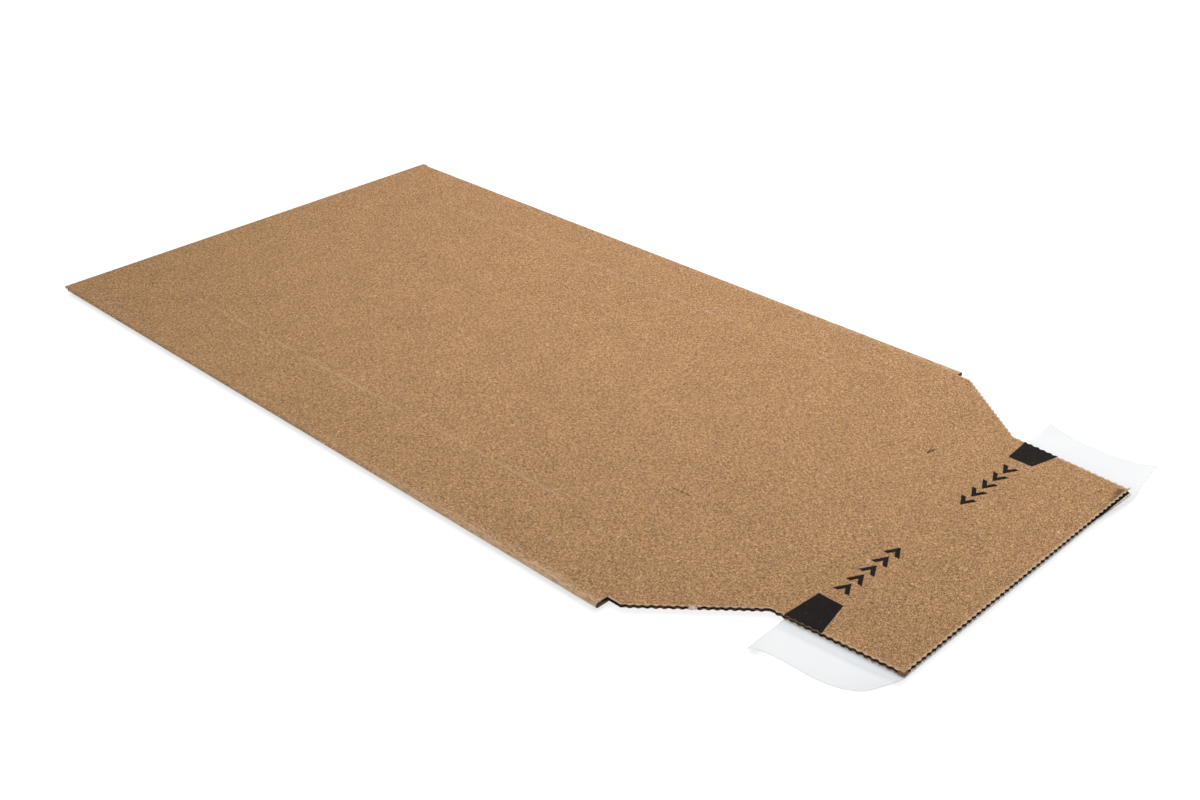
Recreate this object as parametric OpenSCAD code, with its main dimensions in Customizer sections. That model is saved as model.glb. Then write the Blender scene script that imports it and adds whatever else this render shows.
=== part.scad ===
// Corrugated cardboard envelope, folded and glued from one blank, lying on its
// back panel with the closing flap open and the release liner still in place.
// +X runs across the mouth, +Y points to the closed end, +Z is up.
// Distances along the length are counted from the closed end towards the flap.

/* [Envelope] */
// Width over the two side folds
body_w = 249.5; // [200:0.1:320]
// Length from the closed end to the mouth
body_len = 407; // [300:1:520]
// Radius of the two corners at the closed end, seen from above
corner_r = 3.3; // [2:0.1:6]
// How far the back panel's mouth edge lies behind the front's
back_setback = 9; // [4:0.5:30]
// How far the back panel's cut sides lie inside the side folds
back_inset = 2.6; // [0.4:0.1:4]
// Slant of the mouth and flap against the closed end
skew_deg = 0.7; // [-1:0.1:1]

/* [Board] */
// Thickness of the corrugated board
board_t = 1.6; // [1.4:0.05:2]
// Thickness of each flat facing sheet
facing_t = 0.22; // [0.18:0.01:0.3]
// Thickness of the fluted sheet between the facings
medium_t = 0.18; // [0.12:0.01:0.25]
// Distance from one flute to the next
flute_pitch = 3.25; // [2.8:0.05:4]
// Thickness of board that a fold or a glued seam has crushed
crushed_t = 0.75; // [0.5:0.05:0.85]
// Space between the front and back panels
pocket_gap = 1; // [0.95:0.05:2]
// Width of the flattened board beside a fold
crush_band = 4; // [3:0.5:8]

/* [Glue flaps] */
// Width of the two glue flaps folded in along the sides
glue_flap_w = 30; // [15:1:45]
// Distance that the flaps' free corners are cut back at the closed end
glue_flap_taper = 14; // [5:1:30]
// Thickness of the glue film under the flaps
glue_t = 0.1; // [0.05:0.01:0.14]
// Margin of bare board around each band of glue
glue_margin = 4; // [2:0.5:8]

/* [Closing flap] */
// Depth of the step at each end of the mouth
step_in = 5.4; // [3:0.1:8]
// Offset of the two steps towards the far side
step_shift = 1; // [-2:0.1:2]
// Length of the straight cut that follows the step
step_len = 7; // [3:0.5:15]
// Length of the slanted shoulder, along the envelope
shoulder_len = 42.5; // [20:0.5:70]
// Length of the flap beyond the shoulders
flap_len = 57.9; // [45:0.1:90]
// Width of the flap at the shoulders
flap_root_w = 170.4; // [120:0.1:190]
// Width of the flap at its free edge
flap_end_w = 162.6; // [110:0.1:185]
// Offset of the flap and of the creases towards the far side
flap_shift = 3.9; // [-5:0.1:5]
// Distance from one tooth of the wave cut to the next
tooth_pitch = 3.25; // [2.5:0.05:5]
// Height of the teeth from valley to crest
tooth_h = 0.55; // [0.3:0.05:1.2]

/* [Creases] */
// Spacing of the two long creases in the front panel
crease_spacing = 173.6; // [120:0.1:184]
// Distance from the closed end to the first cross crease
crease_start = 52; // [30:1:80]
// Distance from the mouth back to the last cross crease
crease_margin = 53; // [30:1:80]
// Width of a crease
crease_w = 1.2; // [0.6:0.1:2]
// Depth of a crease
crease_depth = 0.05; // [0.03:0.01:0.15]

/* [Closure] */
// Width of the adhesive strip under the flap
adhesive_w = 28; // [15:1:35]
// Thickness of the adhesive strip
adhesive_t = 0.15; // [0.1:0.01:0.3]
// Distance from the strip to the flap's free edge
adhesive_margin = 3; // [2:0.5:6]
// Width of the tear tape
tear_tape_w = 6; // [3:0.5:8]
// Thickness of the tear tape
tear_tape_t = 0.08; // [0.05:0.01:0.1]
// Distance from the shoulders to the middle of the tear tape
tear_line = 13; // [9:0.5:20]
// Width of the release liner
liner_w = 52; // [40:0.5:56]
// Thickness of the release liner
liner_t = 0.15; // [0.1:0.01:0.3]
// Distance that the liner reaches past the flap's free edge
liner_past = 0.8; // [0.5:0.1:2]
// How far the liner reaches from the middle to its near end
liner_near = 106.5; // [90:0.5:120]
// How far the liner reaches from the middle to its far end
liner_far = 105.5; // [90:0.5:120]
// Height of the middle of the liner's near end above what it lies on
near_lift = 4.4; // [4.2:0.1:6]
// How much higher its corner at the free edge stands
near_rise = 7.4; // [2:0.1:9]
// How much lower its corner at the shoulder lies
near_drop = 4; // [1:0.1:4]
// Height of the middle of the liner's far end
far_lift = 1.2; // [0.5:0.1:3]
// How much higher the two corners of the far end stand
far_rise = 3.6; // [0:0.1:8]

/* [Worn corner] */
// Length of the split along the flap's free edge, from its far corner
split_len = 36; // [10:1:60]
// Depth of the split at that corner
split_depth = 9; // [4:0.5:15]

/* [Print] */
// Thickness of the printed ink
ink_t = 0.04; // [0.02:0.01:0.06]
// Offset of the print from the middle of the flap
print_shift = 2; // [-4:0.5:4]
// Length of a tear mark along the flap's side
mark_outer = 17.8; // [10:0.1:24]
// Length of a tear mark on its inner side
mark_inner = 11.6; // [6:0.1:16]
// How far a mark's outer side lies nearer to the free edge than the tear tape
mark_outer_shift = 2; // [0:0.1:4]
// How far its inner side does
mark_inner_shift = 0.3; // [0:0.1:2]
// Distance from the middle of the flap to a tear mark's inner side
mark_reach = 67.1; // [63:0.1:72]
// Number of arrowheads on each side
arrow_count = 5; // [3:1:5]
// Distance from one arrowhead to the next
arrow_pitch = 8.17; // [7:0.01:9]
// Distance from the middle to the tip of the innermost arrowhead
arrow_first = 21; // [12:0.5:25]
// Height of an arrowhead
arrow_h = 7.7; // [4:0.1:10]
// Length of an arrowhead
arrow_len = 6.9; // [4:0.1:7]
// Width of an arrowhead's strokes at their square ends
arrow_stroke = 2.2; // [1.2:0.1:2.6]

/* [Hidden] */
$fn = 48;

kraft = [0.66, 0.51, 0.37];
ink = [0.16, 0.15, 0.14];
paper_white = [0.95, 0.95, 0.96];
film_clear = [0.86, 0.84, 0.78];
glue_tan = [0.82, 0.76, 0.62];

half_w = body_w / 2;
body_h = 2 * board_t + pocket_gap;
front_z = board_t + pocket_gap;
shoulder_d = body_len + step_len + shoulder_len;
total_len = shoulder_d + flap_len;
skew = tan(skew_deg);
// The slanted liner's furthest corner sets the length that is centred on the origin
liner_reach = skew > 0 ? liner_near - flap_shift : liner_far + flap_shift;
stand_len = total_len + liner_past + liner_reach * abs(skew);
closed_y = stand_len / 2;
crease_end = body_len - crease_margin;
// How far cutting shapes reach beyond what they cut
past = 2;
// How far the front panel's plan reaches beyond its rounded folds
over = 0.3;

// A point across and along the envelope, as a point in the plan
function plan(x, d) = [x, closed_y - d];
// The same for the mouth and flap, which are cut slightly out of square
function slant(x, d) = [x, closed_y - d + x * skew];
// Half the flap's width at a distance from the closed end
function flap_half(d) =
    (flap_root_w + (flap_end_w - flap_root_w) * (d - shoulder_d) / flap_len) / 2;

// Flutes

mid_z = board_t / 2;
wave_a = mid_z - facing_t - medium_t / 2;
// Where one channel of a flute is drawn, in parts of the pitch
channel_steps = [-0.42, -0.27, -0.11, 0.11, 0.27, 0.42];

// Outline of one channel between the fluted sheet and the upper facing.
// Side 1 is the channel above the fluted sheet and side -1 the one below it.
function channel(x, side, base) = [
    for (u = channel_steps)
        let (
            drop = abs(u) > 0.4 ? wave_a + medium_t / 2 : -wave_a * cos(360 * u) + medium_t / 2
        )
        [x + u * flute_pitch, base + mid_z + side * drop]
];

// All channels of a panel of width w that lies at height base
module flute_section(w, base) {
    count = floor((w / 2 - crush_band) / flute_pitch);
    for (i = [-count : count]) {
        polygon(channel(i * flute_pitch, 1, base));
    }
    for (i = [-count : count - 1]) {
        polygon(channel((i + 0.5) * flute_pitch, -1, base));
    }
}

// Extrudes a cross-section towards the flap, from one distance to another
module along(from_d, to_d) {
    translate([0, closed_y - from_d, 0])
        rotate([90, 0, 0])
            linear_extrude(height = to_d - from_d)
                children();
}

// Outline of the blank

// Corners of one tooth: how far along its pitch, and on which side of the cut
tooth_steps = [[0.15, -1], [0.4, 1], [0.65, 1], [0.9, -1]];

// A wave cut from p to q, as a row of flat-topped teeth. The row starts and ends
// half a tooth away from the two corners, so that each corner stays whole.
function wave_cut(p, q) =
    let (
        run = norm(q - p),
        count = round(run / tooth_pitch),
        dir = (q - p) / run,
        out = [dir[1], -dir[0]] * tooth_h / 2
    )
    concat(
        [p],
        [
            for (i = [0 : count - 2], step = tooth_steps)
                p + dir * run * (i + 0.5 + step[0]) / count + out * step[1]
        ]
    );

// A quarter of a rounded corner around the centre c
function corner(c, start) = [
    for (a = [start : 15 : start + 90]) c + corner_r * [cos(a), sin(a)]
];

// Corners of the mouth, the shoulder and the flap on one side, from the fold on
function flap_corners(side) = [
    slant(side * (half_w + past), body_len),
    slant(side * (half_w - step_in) + step_shift, body_len),
    slant(side * (half_w - step_in) + step_shift, body_len + step_len),
    slant(side * flap_root_w / 2 + flap_shift, shoulder_d),
    slant(side * flap_end_w / 2 + flap_shift, total_len)
];

// Plan of the front panel with its flap. Along the folds it is drawn a little
// too wide, so that only its corners, mouth and flap cut the sheet.
function front_outline() =
    let (
        r = flap_corners(1),
        l = flap_corners(-1),
        cx = half_w + over - corner_r,
        cy = closed_y + over - corner_r
    )
    concat(
        corner([cx, cy], 0),
        corner([-cx, cy], 90),
        [[-half_w - over, l[0][1]], l[1]],
        wave_cut(l[2], l[3]),
        wave_cut(l[3], l[4]),
        wave_cut(l[4], r[4]),
        wave_cut(r[4], r[3]),
        wave_cut(r[3], r[2]),
        [r[2], r[1], [half_w + over, r[0][1]]]
    );

// The folded sheet

fold_r = (body_h - board_t - glue_t) / 2;
// How far the end fold's legs run into the two panels
fold_overlap = 1;
flap_base = board_t + glue_t;
flap_top = flap_base + crushed_t;

// Front panel, side folds and glue flaps in cross-section
module front_section() {
    translate([-half_w + fold_r, front_z])
        square([body_w - 2 * fold_r, board_t]);
    for (side = [-1, 1]) {
        scale([side, 1])
        union() {
            intersection() {
                translate([half_w - fold_r, flap_base + fold_r])
                    circle(fold_r);
                translate([half_w - fold_r, flap_base])
                    square([fold_r + past, 2 * fold_r]);
            }
            translate([half_w - glue_flap_w, flap_base])
                square([glue_flap_w - fold_r, crushed_t]);
        }
    }
}

// Back panel in cross-section
module back_section() {
    translate([-half_w + back_inset, 0])
        square([body_w - 2 * back_inset, board_t]);
}

// Cross-section that the end fold keeps: as wide as the front panel above and as
// narrow as the back panel below
module end_section() {
    back_half = half_w - back_inset;
    polygon([
        [-half_w, body_h + past],
        [-half_w, front_z],
        [-back_half, board_t],
        [-back_half, -past],
        [back_half, -past],
        [back_half, board_t],
        [half_w, front_z],
        [half_w, body_h + past]
    ]);
}

// Rounded fold at the closed end, crushed on its inner side by the scoring rule
module end_fold() {
    outer = body_h / 2;
    inner = outer - crushed_t;
    leg = crush_band - outer + fold_overlap;
    intersection() {
        along(-past, 2 * crush_band) end_section();
        translate([-half_w - past, closed_y - outer, outer])
            rotate([90, 0, 90])
                linear_extrude(height = body_w + 2 * past)
                    union() {
                        intersection() {
                            difference() {
                                circle(outer);
                                circle(inner);
                            }
                            translate([0, -outer - past])
                                square([outer + past, body_h + 2 * past]);
                        }
                        for (side = [0, 1]) {
                            mirror([0, side])
                                translate([-leg, inner])
                                    square([leg, crushed_t]);
                        }
                    }
    }
}

// Space below the flap and beside its shoulders, where the glue flaps end
module mouth_clearance() {
    far = total_len + past;
    translate([0, 0, -past])
        linear_extrude(height = (flap_top + front_z) / 2 + past)
            polygon([
                slant(-half_w - past, body_len),
                slant(half_w + past, body_len),
                plan(half_w + past, far),
                plan(-half_w - past, far)
            ]);
}

// Mitre of the glue flaps' free corners at the closed end
module glue_flap_mitre() {
    start = crush_band + fold_overlap;
    free = half_w - glue_flap_w - past;
    for (side = [-1, 1]) {
        translate([0, 0, board_t + glue_t / 2])
            linear_extrude(height = (flap_top + front_z) / 2 - board_t - glue_t / 2)
                polygon([
                    plan(side * (half_w - fold_r), start),
                    plan(side * free, start),
                    plan(side * free, start + glue_flap_taper)
                ]);
    }
}

// Pressed lines in the outer facing, which let the filled envelope bulge
module creases() {
    len = crease_end - crease_start;
    top = body_h - crease_depth;
    for (side = [-1, 1]) {
        translate([side * crease_spacing / 2 + flap_shift - crease_w / 2, closed_y - crease_end, top])
            cube([crease_w, len, past]);
    }
    for (d = [crease_start, crease_end]) {
        translate([-crease_spacing / 2 + flap_shift, closed_y - d - crease_w / 2, top])
            cube([crease_spacing, crease_w, past]);
    }
}

// Gap at the flap's far corner, where the facings have come away from the flutes.
// It is deepest at the corner and runs out along the free edge.
module split_edge() {
    corner_x = flap_end_w / 2 + flap_shift;
    translate([0, 0, front_z + facing_t])
        linear_extrude(height = board_t - 2 * facing_t)
            polygon([
                slant(corner_x - split_len, total_len),
                slant(corner_x - split_len, total_len + past),
                slant(corner_x + past, total_len + past),
                slant(corner_x + past, total_len - split_depth),
                slant(corner_x, total_len - split_depth)
            ]);
}

module envelope_blank() {
    color(kraft)
        difference() {
            union() {
                intersection() {
                    union() {
                        difference() {
                            along(crush_band, total_len + past) front_section();
                            mouth_clearance();
                            glue_flap_mitre();
                        }
                        end_fold();
                    }
                    translate([0, 0, -past])
                        linear_extrude(height = body_h + 2 * past)
                            polygon(front_outline());
                }
                along(crush_band, body_len - back_setback) back_section();
            }
            along(2 * crush_band, total_len + past) flute_section(body_w, front_z);
            along(2 * crush_band, body_len) flute_section(body_w - 2 * back_inset, 0);
            creases();
            split_edge();
        }
}

module seam_glue() {
    color(glue_tan)
        for (side = [-1, 1]) {
            translate([0, 0, board_t])
                linear_extrude(height = glue_t)
                    polygon([
                        plan(side * (half_w - fold_r - glue_margin), crush_band + glue_margin),
                        plan(side * (half_w - glue_flap_w + glue_margin),
                            crush_band + glue_flap_taper + glue_margin),
                        plan(side * (half_w - glue_flap_w + glue_margin),
                            body_len - back_setback - glue_margin),
                        plan(side * (half_w - fold_r - glue_margin), body_len - back_setback - glue_margin)
                    ]);
        }
}

// A band across the flap's underside between two distances
module flap_band(from_d, to_d, edge) {
    polygon([
        slant(-flap_half(from_d) + flap_shift + edge, from_d),
        slant(flap_half(from_d) + flap_shift - edge, from_d),
        slant(flap_half(to_d) + flap_shift - edge, to_d),
        slant(-flap_half(to_d) + flap_shift + edge, to_d)
    ]);
}

module adhesive_strip() {
    last_d = total_len - adhesive_margin;
    side_margin = 1;
    color(film_clear)
        translate([0, 0, front_z - adhesive_t])
            linear_extrude(height = adhesive_t)
                flap_band(last_d - adhesive_w, last_d, side_margin);
}

module tear_tape() {
    mid_d = shoulder_d + tear_line;
    side_margin = 0.5;
    color(film_clear)
        translate([0, 0, front_z - tear_tape_t])
            linear_extrude(height = tear_tape_t)
                flap_band(mid_d - tear_tape_w / 2, mid_d + tear_tape_w / 2, side_margin);
}

// Release liner, flat under the flap and curled where it sticks out

liner_z = front_z - adhesive_t;
liner_first = total_len + liner_past - liner_w;
liner_rows = 10;
liner_cols = 8;

// Powers that shape the curls of the liner's ends and how they leave the flap
near_bend = 3;
far_bend = 2.5;
out_bend = 1.15;

// Height of the liner's two ends, for v from -1 at the shoulder side to 1 at the free edge
function near_end_z(v) =
    near_lift + (v < 0 ? -near_drop : near_rise) * pow(abs(v), near_bend);
function far_end_z(v) = far_lift + far_rise * pow(abs(v), far_bend);

// Top of the liner at a part s of the way out from the flap's side
function curl(s, end_z) = liner_z + (end_z - liner_z) * pow(s, out_bend);

function liner_point(side, s, row) =
    let (
        v = 2 * row / liner_rows - 1,
        d = liner_first + liner_w * row / liner_rows,
        root = flap_half(min(d, total_len)) + tooth_h,
        end = side < 0 ? liner_near : liner_far,
        x = flap_shift + side * (root + (end - root) * s),
        z = curl(s, side < 0 ? near_end_z(v) : far_end_z(v)),
        p = slant(x, d)
    )
    [p[0], p[1], z];

// Rows of points from the near end to the far end
liner_columns = concat(
    [for (i = [liner_cols : -1 : 0]) [-1, i / liner_cols]],
    [for (i = [0 : liner_cols]) [1, i / liner_cols]]
);

// Two triangles of the square with the corners a, b, c and d in turn
function two_faces(a, b, c, d) = [[a, b, c], [a, c, d]];

module release_liner() {
    n = len(liner_columns);
    m = liner_rows + 1;
    top = [for (c = liner_columns) for (row = [0 : liner_rows]) liner_point(c[0], c[1], row)];
    base = [for (p = top) [p[0], p[1], p[2] - liner_t]];
    under = n * m;
    last = (n - 1) * m;
    sheet_faces = [
        for (i = [0 : n - 2], j = [0 : m - 2])
            let (a = i * m + j, b = a + m)
            each concat(
                two_faces(a, a + 1, b + 1, b),
                two_faces(under + a, under + b, under + b + 1, under + a + 1)
            )
    ];
    long_edges = [
        for (i = [0 : n - 2])
            let (a = i * m, b = a + m, c = a + m - 1, d = b + m - 1)
            each concat(
                two_faces(a, b, under + b, under + a),
                two_faces(c, under + c, under + d, d)
            )
    ];
    end_edges = [
        for (j = [0 : m - 2])
            let (a = last + j)
            each concat(
                two_faces(j, under + j, under + j + 1, j + 1),
                two_faces(a, a + 1, under + a + 1, under + a)
            )
    ];
    color(paper_white)
        polyhedron(
            points = concat(top, base),
            faces = concat(sheet_faces, long_edges, end_edges),
            convexity = 4
        );
}

// Printed tear marks

// An arrowhead with its tip at x, pointing to the middle from the given side.
// The ends of its two strokes are cut square to the row.
module arrowhead(x, side) {
    mid_d = shoulder_d + tear_line;
    back = x + side * arrow_len;
    inner = arrow_h / 2 - arrow_stroke;
    notch = x + side * arrow_len * (1 - inner / (arrow_h / 2));
    polygon([
        slant(x, mid_d),
        slant(back, mid_d - arrow_h / 2),
        slant(back, mid_d - inner),
        slant(notch, mid_d),
        slant(back, mid_d + inner),
        slant(back, mid_d + arrow_h / 2)
    ]);
}

// A tapered mark whose wide side lies on the flap's wave-cut edge
module tear_mark(side) {
    mid_d = shoulder_d + tear_line + mark_outer_shift;
    inner_d = shoulder_d + tear_line + mark_inner_shift;
    out = flap_half(shoulder_d) + past;
    intersection() {
        polygon([
            slant(side * mark_reach + flap_shift + print_shift, inner_d - mark_inner / 2),
            slant(side * out + flap_shift, mid_d - mark_outer / 2),
            slant(side * out + flap_shift, mid_d + mark_outer / 2),
            slant(side * mark_reach + flap_shift + print_shift, inner_d + mark_inner / 2)
        ]);
        polygon(front_outline());
    }
}

module tear_marks() {
    color(ink)
        translate([0, 0, body_h])
            linear_extrude(height = ink_t)
                for (side = [-1, 1]) {
                    tear_mark(side);
                    for (i = [0 : arrow_count - 1]) {
                        arrowhead(side * (arrow_first + i * arrow_pitch) + flap_shift + print_shift, side);
                    }
                }
}

envelope_blank();
seam_glue();
adhesive_strip();
tear_tape();
release_liner();
tear_marks();
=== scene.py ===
# Looks of a corrugated cardboard envelope that lies flat with its flap open.
# Metres, in the part's own frame: +X across the mouth, +Y to the closed end, +Z up.
# Shader coordinates are millimetres, so that each grain, flute and mark has its real size.
import math
import random

import bmesh
import bpy
from mathutils import Matrix, Vector


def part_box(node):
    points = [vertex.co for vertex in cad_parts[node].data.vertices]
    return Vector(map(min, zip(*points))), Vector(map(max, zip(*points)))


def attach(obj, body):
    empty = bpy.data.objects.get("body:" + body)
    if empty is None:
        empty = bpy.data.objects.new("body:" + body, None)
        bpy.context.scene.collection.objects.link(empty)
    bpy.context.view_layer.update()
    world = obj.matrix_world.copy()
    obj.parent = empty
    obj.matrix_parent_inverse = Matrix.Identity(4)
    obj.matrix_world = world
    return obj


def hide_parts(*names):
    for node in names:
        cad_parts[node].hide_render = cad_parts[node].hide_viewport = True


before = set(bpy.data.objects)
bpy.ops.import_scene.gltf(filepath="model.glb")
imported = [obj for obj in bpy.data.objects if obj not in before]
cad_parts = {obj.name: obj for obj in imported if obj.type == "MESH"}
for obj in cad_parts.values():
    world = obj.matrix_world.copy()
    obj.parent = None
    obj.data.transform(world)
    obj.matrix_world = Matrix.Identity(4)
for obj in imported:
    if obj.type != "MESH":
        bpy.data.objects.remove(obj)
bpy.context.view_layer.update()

MM = 0.001

# Sizes that the part's own boxes give
board_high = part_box("envelope_blank")[1]
strip_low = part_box("adhesive_strip")[0]
CLOSED_Y = board_high.y
TOP_Z = board_high.z
HALF_W = board_high.x
LINER_TOP = strip_low.z

# Layout of the blank; distances are counted from the closed end
BOARD_T = 1.6 * MM
FACING_T = 0.22 * MM
FLUTE_PITCH = 3.25 * MM
SIDE_FOLD_R = 1.25 * MM
MOUTH_D = 407 * MM
STEP_D = 414 * MM
SHOULDER_D = 456.5 * MM
FLAP_D = 514.4 * MM
STEP_HALF = 119.35 * MM
STEP_SHIFT = 1 * MM
FLAP_ROOT_W = 170.4 * MM
FLAP_END_W = 162.6 * MM
FLAP_SHIFT = 3.9 * MM
SKEW = math.tan(math.radians(0.7))
TOOTH_H = 0.55 * MM
CREASE_X = 86.8 * MM
CREASE_FROM = 52 * MM
CREASE_TO = 354 * MM
SPLIT_LEN = 36 * MM
SPLIT_DEPTH = 9 * MM
FRONT_Z = TOP_Z - BOARD_T
FAR_CORNER_X = FLAP_SHIFT + FLAP_END_W / 2

# Release liner
LINER_W = 52 * MM
LINER_PAST = 0.8 * MM
LINER_T = 0.15 * MM
LINER_NEAR = 106.5 * MM
LINER_FAR = 105.5 * MM


def slant(x, d, z):
    """A point of the mouth or flap, which is cut slightly out of square."""
    return Vector((x, CLOSED_Y - d + x * SKEW, z))


def flap_half(d):
    share = (d - SHOULDER_D) / (FLAP_D - SHOULDER_D)
    return (FLAP_ROOT_W + (FLAP_END_W - FLAP_ROOT_W) * share) / 2


# Camera at the photograph's place

CAMERA_OFFSET = Vector((-451.0, -745.1, 354.3)) * MM
CAMERA_HEADING = 44.472
CAMERA_DOWN = 29.571
CAMERA_ROLL = -0.998
CAMERA_LENS = 46.36


def make_camera():
    data = bpy.data.cameras.new("photo_camera")
    data.sensor_width = 36
    data.lens = CAMERA_LENS
    data.clip_start = 0.01
    data.clip_end = 30
    camera = bpy.data.objects.new("photo_camera", data)
    bpy.context.scene.collection.objects.link(camera)
    turn = (
        Matrix.Rotation(-math.radians(CAMERA_HEADING), 4, "Z")
        @ Matrix.Rotation(math.radians(90 - CAMERA_DOWN), 4, "X")
        @ Matrix.Rotation(math.radians(CAMERA_ROLL), 4, "Z")
    )
    place = Vector((0, CLOSED_Y, TOP_Z)) + CAMERA_OFFSET
    camera.matrix_world = Matrix.Translation(place) @ turn
    bpy.context.scene.camera = camera


# Light, background and floor

WORLD_FILL = 0.155
FLOOR_HALF = 6.0
# How white the floor shows by itself, near the object and further away
FLOOR_GLOW = 1.12
FLOOR_LIFT = 0.9
# Painted contact shadow: occlusion within this reach darkens the floor's glow, by up to this share
CONTACT_REACH = 3.2 * MM
CONTACT_DEPTH = 0.4

# A wide soft lamp close above the envelope, and a weak low one on the camera's left.
# Each is a place, a target, a diameter and a power in watts.
LAMPS = {
    "top_lamp": ((0.3, 0.0, 0.44), (0.3, 0.0, 0), 1.0, 4.4),
    "side_lamp": ((-1.3, -0.55, 0.55), (-0.1, 0, 0), 0.8, 6.3),
}


def make_lamp(name, place, target, size, power):
    data = bpy.data.lights.new(name, "AREA")
    data.shape = "DISK"
    data.size = size
    data.energy = power
    lamp = bpy.data.objects.new(name, data)
    lamp.visible_camera = False
    bpy.context.scene.collection.objects.link(lamp)
    look = Vector(target) - Vector(place)
    lamp.matrix_world = Matrix.Translation(place) @ look.to_track_quat("-Z", "Y").to_matrix().to_4x4()


def seen_ray(nodes, links):
    """1 for rays that the eye, a gloss or a clear film sends to the background."""
    path = nodes.new("ShaderNodeLightPath")
    first = nodes.new("ShaderNodeMath")
    first.operation = "MAXIMUM"
    links.new(path.outputs["Is Camera Ray"], first.inputs[0])
    links.new(path.outputs["Is Glossy Ray"], first.inputs[1])
    last = nodes.new("ShaderNodeMath")
    last.operation = "MAXIMUM"
    links.new(first.outputs[0], last.inputs[0])
    links.new(path.outputs["Is Transmission Ray"], last.inputs[1])
    return last.outputs[0]


def make_world():
    world = bpy.data.worlds.new("soft_box")
    bpy.context.scene.world = world
    world.use_nodes = True
    nodes, links = world.node_tree.nodes, world.node_tree.links
    nodes.clear()
    fill = nodes.new("ShaderNodeBackground")
    fill.inputs["Color"].default_value = (0.97, 0.985, 1.0, 1)
    fill.inputs["Strength"].default_value = WORLD_FILL
    white = nodes.new("ShaderNodeBackground")
    white.inputs["Color"].default_value = (1, 1, 1, 1)
    white.inputs["Strength"].default_value = 1
    mix = nodes.new("ShaderNodeMixShader")
    out = nodes.new("ShaderNodeOutputWorld")
    links.new(seen_ray(nodes, links), mix.inputs["Fac"])
    links.new(fill.outputs[0], mix.inputs[1])
    links.new(white.outputs[0], mix.inputs[2])
    links.new(mix.outputs[0], out.inputs["Surface"])


def make_floor():
    mesh = bpy.data.meshes.new("floor")
    h = FLOOR_HALF
    mesh.from_pydata([(-h, -h, 0), (h, -h, 0), (h, h, 0), (-h, h, 0)], [], [(0, 1, 2, 3)])
    floor = bpy.data.objects.new("floor", mesh)
    bpy.context.scene.collection.objects.link(floor)
    material = bpy.data.materials.new("pale_floor")
    material.use_nodes = True
    nodes, links = material.node_tree.nodes, material.node_tree.links
    shader = nodes["Principled BSDF"]
    shader.inputs["Base Color"].default_value = (0.93, 0.93, 0.93, 1)
    shader.inputs["Roughness"].default_value = 0.9
    g = Graph(material.node_tree)
    contact = nodes.new("ShaderNodeAmbientOcclusion")
    contact.inputs["Distance"].default_value = CONTACT_REACH
    open_sky = contact.outputs["AO"]
    glow = nodes.new("ShaderNodeEmission")
    glow.inputs["Color"].default_value = (1, 1, 1, 1)
    shade = g.line(open_sky, 0, 1, 1 - CONTACT_DEPTH, 1)
    g.put(g.math("MULTIPLY", FLOOR_GLOW, shade), glow.inputs["Strength"])
    away = g.vector("LENGTH", nodes.new("ShaderNodeTexCoord").outputs["Object"], out=1)
    lift = g.ramp(away, 0.3, 0.55, FLOOR_LIFT, 1.0)
    mix = nodes.new("ShaderNodeMixShader")
    g.put(g.math("MULTIPLY", seen_ray(nodes, links), lift), mix.inputs["Fac"])
    links.new(shader.outputs[0], mix.inputs[1])
    links.new(glow.outputs[0], mix.inputs[2])
    links.new(mix.outputs[0], nodes["Material Output"].inputs["Surface"])
    mesh.materials.append(material)


# Node helpers

FLOAT, VECTOR, COLOUR = "NodeSocketFloat", "NodeSocketVector", "NodeSocketColor"


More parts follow.
